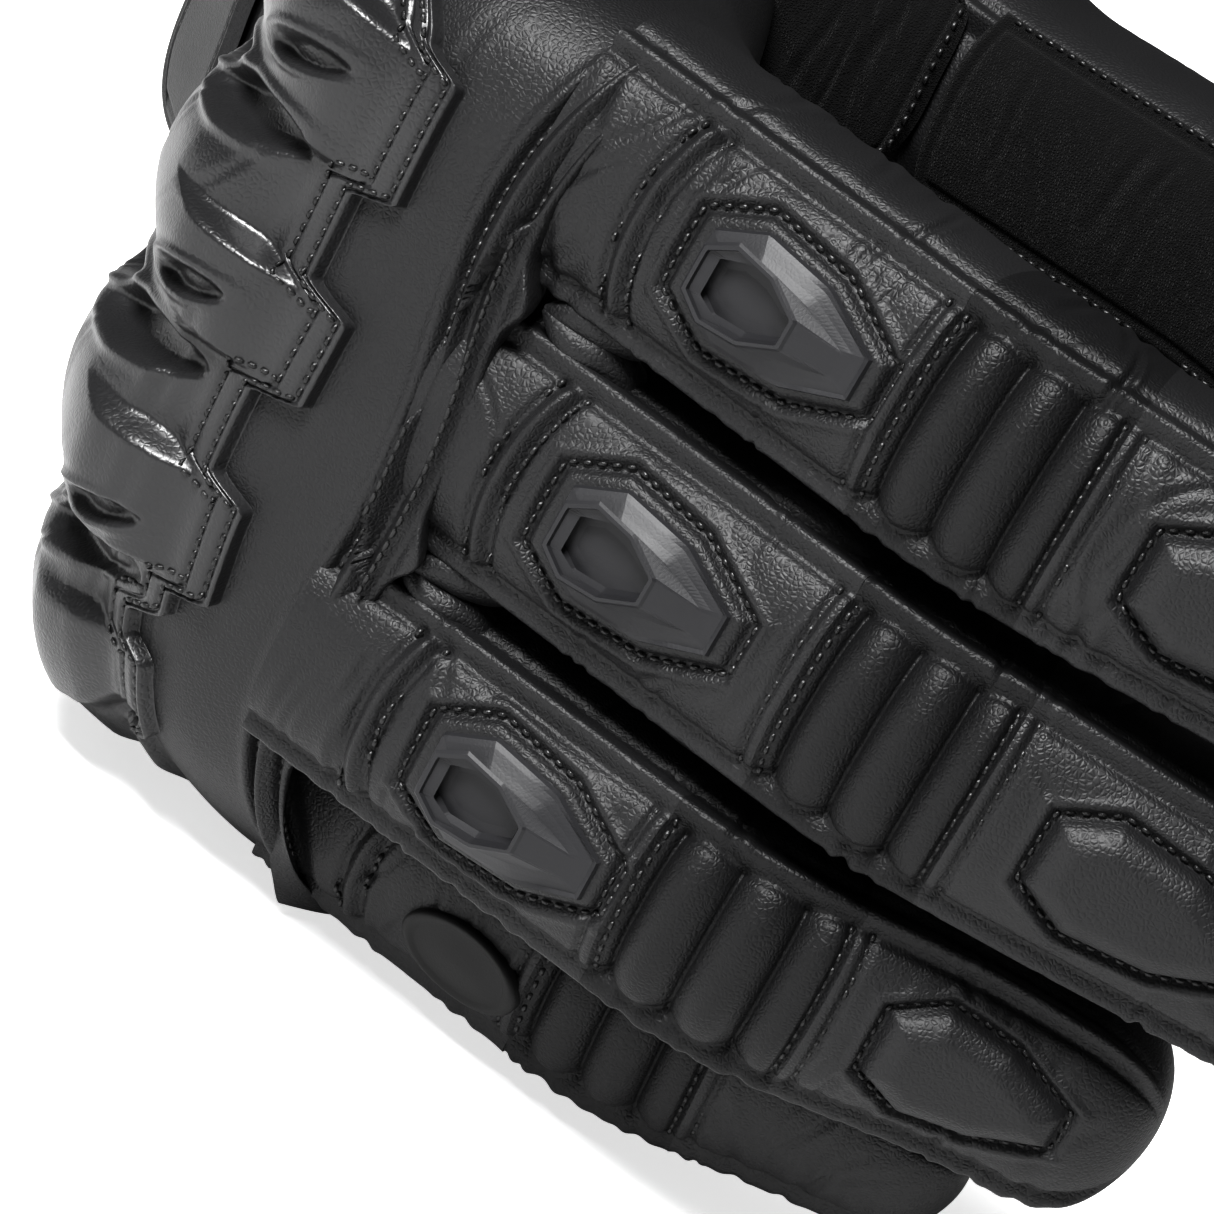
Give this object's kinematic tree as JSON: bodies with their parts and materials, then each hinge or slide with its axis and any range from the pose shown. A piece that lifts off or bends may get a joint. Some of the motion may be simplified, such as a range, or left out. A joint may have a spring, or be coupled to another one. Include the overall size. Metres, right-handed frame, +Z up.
{
  "type": "motorcycle riding glove",
  "caption": "Right-hand leather riding glove with hinged fingers and thumb, knuckle armour, finger sliders, accordion panels and a flared cuff that opens with a strap.",
  "frame": {"origin": "On the resting face, under the middle of the glove's bounding box.", "axes": "+Z is up toward the thumb side, with the little-finger edge resting on the floor; +Y runs from the fingers to the open cuff; the back of the hand faces -X and the palm faces +X."},
  "size_m": [0.1364, 0.2049, 0.1007],
  "materials": {
    "leather": "fine grained, satin",
    "armour_leather": "smooth glossy leather over a hard shell",
    "accordion_leather": "perforated and ribbed",
    "slider_plastic": "moulded, satin",
    "badge_rubber": "matte, plain",
    "suede": "brushed suede",
    "elastic": "knitted"
  },
  "bodies": {
    "hand": {"knuckle_panel": "leather", "back_panel": "leather", "palm_panel": "leather", "little_side_wall": "leather", "thumb_side_wall": "leather", "knuckle_armour": "armour_leather", "palm_patch": "suede", "heel_slider": "slider_plastic", "wrist_band": "elastic", "thumb_gusset": "leather", "index_fold": "leather", "middle_fold": "leather", "ring_fold": "leather", "pinky_fold": "leather"},
    "index_finger": {"index_back": "leather", "index_palm": "leather", "index_thumb_side": "leather", "index_little_side": "leather", "index_accordion": "accordion_leather", "index_slider": "slider_plastic"},
    "index_end": {"index_end_back": "leather", "index_end_palm": "leather", "index_tip_pad": "leather"},
    "middle_finger": {"middle_back": "leather", "middle_palm": "leather", "middle_thumb_side": "leather", "middle_little_side": "leather", "middle_accordion": "accordion_leather", "middle_slider": "slider_plastic"},
    "middle_end": {"middle_end_back": "leather", "middle_end_palm": "leather", "middle_tip_pad": "leather"},
    "ring_finger": {"ring_back": "leather", "ring_palm": "leather", "ring_thumb_side": "leather", "ring_little_side": "leather", "ring_accordion": "accordion_leather", "ring_slider": "slider_plastic"},
    "ring_end": {"ring_end_back": "leather", "ring_end_palm": "leather", "ring_tip_pad": "leather"},
    "pinky_finger": {"pinky_back": "leather", "pinky_palm": "leather", "pinky_thumb_side": "leather", "pinky_little_side": "leather", "pinky_accordion": "accordion_leather", "pinky_badge": "badge_rubber"},
    "pinky_end": {"pinky_end_back": "leather", "pinky_end_palm": "leather"},
    "thumb": {"thumb_back": "leather", "thumb_palm": "leather", "thumb_thumb_side": "leather", "thumb_little_side": "leather", "thumb_accordion": "accordion_leather", "thumb_patch": "suede"},
    "thumb_end": {"thumb_end_back": "leather", "thumb_end_palm": "leather"},
    "cuff": {"cuff_back": "leather", "cuff_palm": "leather"},
    "strap": {"closing_strap": "leather"}
  },
  "joints": [
    {"name": "index_base", "type": "hinge", "parent": "hand", "child": "index_finger", "pos_m": [-0.02011, -0.06266, 0.0802], "axis": [0, 0, 1], "range_deg": [-25, 8]},
    {"name": "index_middle", "type": "hinge", "parent": "index_finger", "child": "index_end", "pos_m": [0.01488, -0.07673, 0.0802], "axis": [0, 0, 1], "range_deg": [-14, 15]},
    {"name": "middle_base", "type": "hinge", "parent": "hand", "child": "middle_finger", "pos_m": [-0.02011, -0.06266, 0.0547], "axis": [0, 0, 1], "range_deg": [-25, 8]},
    {"name": "middle_middle", "type": "hinge", "parent": "middle_finger", "child": "middle_end", "pos_m": [0.01895, -0.07725, 0.0547], "axis": [0, 0, 1], "range_deg": [-16, 15]},
    {"name": "ring_base", "type": "hinge", "parent": "hand", "child": "ring_finger", "pos_m": [-0.01917, -0.06089, 0.0308], "axis": [-0.0355, -0.0796, 0.9962], "range_deg": [-25, 8]},
    {"name": "ring_middle", "type": "hinge", "parent": "ring_finger", "child": "ring_end", "pos_m": [0.01626, -0.0723, 0.03115], "axis": [-0.0355, -0.0796, 0.9962], "range_deg": [-26, 15]},
    {"name": "pinky_base", "type": "hinge", "parent": "hand", "child": "pinky_finger", "pos_m": [-0.01475, -0.05259, 0.01], "axis": [-0.106, -0.2174, 0.9703], "range_deg": [-25, 6]},
    {"name": "pinky_middle", "type": "hinge", "parent": "pinky_finger", "child": "pinky_end", "pos_m": [0.01301, -0.06181, 0.01097], "axis": [-0.106, -0.2174, 0.9703], "range_deg": [-20, 15]},
    {"name": "thumb_base", "type": "hinge", "parent": "hand", "child": "thumb", "pos_m": [0.01158, -0.00684, 0.0852], "axis": [0.6508, 0.7593, 0], "range_deg": [-18, 4]},
    {"name": "thumb_middle", "type": "hinge", "parent": "thumb", "child": "thumb_end", "pos_m": [0.03757, -0.02912, 0.08489], "axis": [0.6508, 0.7593, 0], "range_deg": [-10, 10]},
    {"name": "wrist", "type": "hinge", "parent": "hand", "child": "cuff", "pos_m": [-0.02242, 0.05166, 0.0457], "axis": [0, 0, 1], "range_deg": [-15, 15]},
    {"name": "strap_opening", "type": "hinge", "parent": "cuff", "child": "strap", "pos_m": [-0.06192, 0.08216, 0.0727], "axis": [0, 1, 0], "range_deg": [0, 75]}
  ]
}
